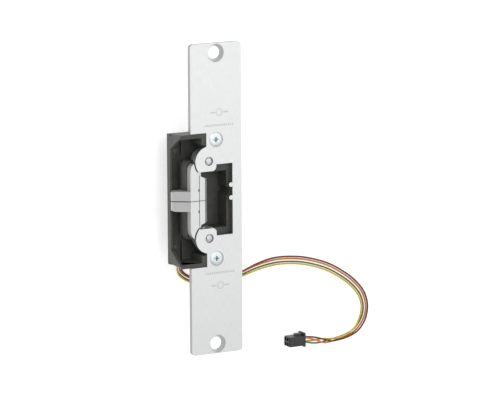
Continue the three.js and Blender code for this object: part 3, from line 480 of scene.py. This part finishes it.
def turned_mesh(profile, x, y, segments=56):
    """A turned solid about the vertical line through (x, y), from its outline of (radius, height)."""
    bm = bmesh.new()
    rings = []
    for radius, height in profile:
        if radius == 0:
            rings.append([bm.verts.new((x * MM, y * MM, height * MM))])
            continue
        ring = []
        for i in range(segments):
            turn = i / segments * 2 * math.pi
            across, along = x + radius * math.cos(turn), y + radius * math.sin(turn)
            ring.append(bm.verts.new((across * MM, along * MM, height * MM)))
        rings.append(ring)
    for upper, lower in zip(rings, rings[1:]):
        for i in range(segments):
            j = (i + 1) % segments
            above = [upper[i % len(upper)], upper[j % len(upper)]]
            below = [lower[j % len(lower)], lower[i % len(lower)]]
            bm.faces.new(list(dict.fromkeys(above + below)))
    bmesh.ops.recalc_face_normals(bm, faces=bm.faces)
    for face in bm.faces:
        face.smooth = True
    mesh = bpy.data.meshes.new("turned")
    bm.to_mesh(mesh)
    bm.free()
    return mesh


def threads(radius, start, stop, pitch, depth):
    """Outline of a threaded shank, from start down to stop."""
    count = int((start - stop) / pitch)
    step = (start - stop) / count
    outline = []
    for i in range(count):
        outline += [(radius - depth, start - i * step), (radius, start - (i + 0.5) * step)]
    return outline


def cross_cutter(x, y, top):
    """Two tapering blades that cross, to cut a screw's recess."""
    reach, half, taper = RECESS["reach"], RECESS["half"], RECESS["taper"]
    mouth_z, foot_z = top + RECESS["above"], top - RECESS["depth"]
    bm = bmesh.new()
    for across, along in ((reach, half), (half, reach)):
        mouth = [(across, along), (-across, along), (-across, -along), (across, -along)]
        rim = [bm.verts.new(((x + a) * MM, (y + b) * MM, mouth_z * MM)) for a, b in mouth]
        foot = [bm.verts.new(((x + taper * a) * MM, (y + taper * b) * MM, foot_z * MM)) for a, b in mouth]
        bm.faces.new(rim)
        bm.faces.new(foot[::-1])
        for i in range(4):
            j = (i + 1) % 4
            bm.faces.new((rim[j], rim[i], foot[i], foot[j]))
    bmesh.ops.recalc_face_normals(bm, faces=bm.faces)
    mesh = bpy.data.meshes.new("cutter")
    bm.to_mesh(mesh)
    bm.free()
    return mesh


def face_screw(node):
    """Flat head, very slightly crowned, with a cross recess and a threaded shank."""
    x, y, _ = middle_of(node)
    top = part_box(node)[1][2] / MM
    crown = [(0, top), (2.2, top), (3.6, top - 0.06), (4.35, top - 0.22), (4.5, top - 0.42), (4.4, top - 0.6)]
    shank_r, tip = SCREW["shank_r"], SCREW["tip"]
    thread = threads(shank_r, top - 3.6, SCREW["thread_end"], SCREW["thread_pitch"], SCREW["thread_depth"])
    shank = [(shank_r, top - 3.3), *thread, (1.0, tip + 0.1), (0, tip)]
    screw = new_object(node + "_turned", turned_mesh(crown + shank, x, y))
    cutter = new_object("cutter", cross_cutter(x, y, top))
    recess = screw.modifiers.new("recess", "BOOLEAN")
    recess.object = cutter
    recess.operation = "DIFFERENCE"
    recess.solver = "EXACT"
    recess.use_self = True
    bpy.context.view_layer.update()
    shaped = screw.evaluated_get(bpy.context.evaluated_depsgraph_get())
    solid = bpy.data.meshes.new_from_object(shaped)
    screw.modifiers.clear()
    screw.data = solid
    bpy.data.objects.remove(cutter)
    ease_edges(screw, SCREW_EDGE)
    return stand_for(screw, node)


def pivot_pin(node):
    """Turned pin with a chamfered head and the clip's groove at its foot."""
    x, y, _ = middle_of(node)
    low, high = (corner[2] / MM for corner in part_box(node))
    shank, neck, edge = PIN["shank_r"], PIN["groove_r"], PIN["groove_edge"]
    groove_low, groove_high = PIN["groove"]
    head = [(0, high), (shank, high), (1.75, high - 0.05), (2.2, high - 0.3), (2.2, high - 0.58),
            (2.12, high - 0.62), (shank, high - 0.64)]
    groove = [(shank, groove_high + edge), (neck, groove_high),
              (neck, groove_low), (shank, groove_low - edge)]
    outline = [*head, *groove, (shank, low + 0.35), (1.2, low), (0, low)]
    pin = new_object(node + "_turned", turned_mesh(outline, x, y))
    ease_edges(pin, TURNED_EDGE)
    return stand_for(pin, node)


def lip_rivet(node):
    """A domed head over a plain shank with a formed foot."""
    x, y, _ = middle_of(node)
    low, high = (corner[2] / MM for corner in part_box(node))
    rise, steps = RIVET_HEAD["rise"], RIVET_HEAD["steps"]
    seat = high - rise
    slopes = [i / steps * math.pi / 2 for i in range(1, steps + 1)]
    dome = [(RIVET_HEAD["r"] * math.sin(a), seat + rise * math.cos(a)) for a in slopes]
    shank = [(2.05, seat - 0.02), (1.2, seat - 0.03), (1.2, low + 1.3)]
    foot = [(1.9, low + 1.25), (2.0, low + 0.9), (1.7, low + 0.2), (1.1, low), (0, low)]
    outline = [(0, high), *dome, *shank, *foot]
    rivet = new_object(node + "_turned", turned_mesh(outline, x, y, 40))
    ease_edges(rivet, TURNED_EDGE)
    return stand_for(rivet, node)


def coil(node):
    """Three layers of enamelled wire wound to and fro on the bobbin."""
    low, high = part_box(node)
    _, y, z = middle_of(node)
    wire, layers, per_turn = WINDING["wire_r"], WINDING["layers"], WINDING["per_turn"]
    x0, x1 = low[0] / MM + wire, high[0] / MM - wire
    turns = int((x1 - x0) / (2.1 * wire))
    route = []
    for layer in range(layers):
        radius = WINDING["first_r"] + layer * 2.05 * wire
        for i in range(turns * per_turn + 1):
            along = i / (turns * per_turn)
            x = x0 + (x1 - x0) * (along if layer % 2 == 0 else 1 - along)
            angle = i / per_turn * 2 * math.pi
            around = (y + radius * math.cos(angle), z + radius * math.sin(angle))
            route.append(Vector((x, *around)) * MM)
    winding_wire = wire_curve(node + "_winding", route, wire * MM)
    winding_wire.data.bevel_resolution = 1
    return stand_for(winding_wire, node)


SPECIAL = {"face_screw": face_screw, "pivot_pin": pivot_pin, "lip_rivet": lip_rivet, "solenoid_coil": coil}

for node in frame["nodes"]:
    kind = node.removeprefix("upper_").removeprefix("lower_")
    if kind in SPECIAL:
        SPECIAL[kind](node)
    elif not node.startswith("lead_") or node == "lead_grommet":
        rounded_copy(node)

for colour in BUNCH:
    node = "lead_" + colour
    points = lead_points(colour)
    into_box, into_plug = Vector((0, LEAD_IN_BOX, 0)) * MM, Vector((-LEAD_IN_PLUG, 0, 0)) * MM
    route = smooth_route([points[0] + into_box, *points, points[-1] + into_plug])
    piece = stand_for(wire_curve(node + "_wire", route, LEAD_D / 2 * MM), node)

# ---------------------------------------------------------------- floor and light


def floor():
    bm = bmesh.new()
    bmesh.ops.create_grid(bm, x_segments=2, y_segments=2, size=4)
    mesh = bpy.data.meshes.new("floor")
    bm.to_mesh(mesh)
    bm.free()
    sheet = new_object("floor", mesh)
    sheet.location.z = -0.0002
    material = bpy.data.materials.new("floor")
    material.use_nodes = True
    shader = material.node_tree.nodes["Principled BSDF"]
    shader.inputs["Base Color"].default_value = (0.93, 0.93, 0.93, 1)
    shader.inputs["Roughness"].default_value = 0.9
    shader.inputs["Specular IOR Level"].default_value = 0.1
    shader.inputs["Emission Color"].default_value = (1, 1, 1, 1)
    shader.inputs["Emission Strength"].default_value = 0.6
    mesh.materials.append(material)


def area_light(name, place, toward, width, height, watts):
    data = bpy.data.lights.new(name, "AREA")
    data.shape = "RECTANGLE"
    data.size, data.size_y, data.energy = width, height, watts
    lamp = new_object(name, data)
    lamp.location = place
    lamp.rotation_mode = "QUATERNION"
    lamp.rotation_quaternion = (Vector(toward) - Vector(place)).to_track_quat("-Z", "Y")


floor()
area_light("soft_box", (0.55, 0.22, 1.08), (0.55, 0.22, 0.0), 1.3, 1.2, 3.1)
area_light("left_fill", (-0.12, 0.35, 0.95), (-0.02, 0.0, 0.02), 0.5, 0.5, 1.0)


def studio_world():
    """A soft white dome, brightest over the strike's right side and dimmer behind the camera."""
    world = bpy.data.worlds.new("studio")
    world.use_nodes = True
    nodes, links = world.node_tree.nodes, world.node_tree.links
    way = nodes.new("ShaderNodeTexCoord").outputs["Generated"]
    facing = nodes.new("ShaderNodeVectorMath")
    facing.operation = "DOT_PRODUCT"
    facing.inputs[1].default_value = (0.46, -0.187, 0.867)
    links.new(way, facing.inputs[0])
    level = nodes.new("ShaderNodeMapRange")
    level.interpolation_type = "SMOOTHSTEP"
    for i, number in enumerate((0.2, 0.98, 0.44, 0.59)):
        level.inputs[i + 1].default_value = number
    links.new(facing.outputs["Value"], level.inputs[0])
    links.new(level.outputs[0], nodes["Background"].inputs["Strength"])
    nodes["Background"].inputs["Color"].default_value = (1, 1, 1, 1)
    bpy.context.scene.world = world


studio_world()
bpy.context.scene.view_settings.view_transform = "Standard"
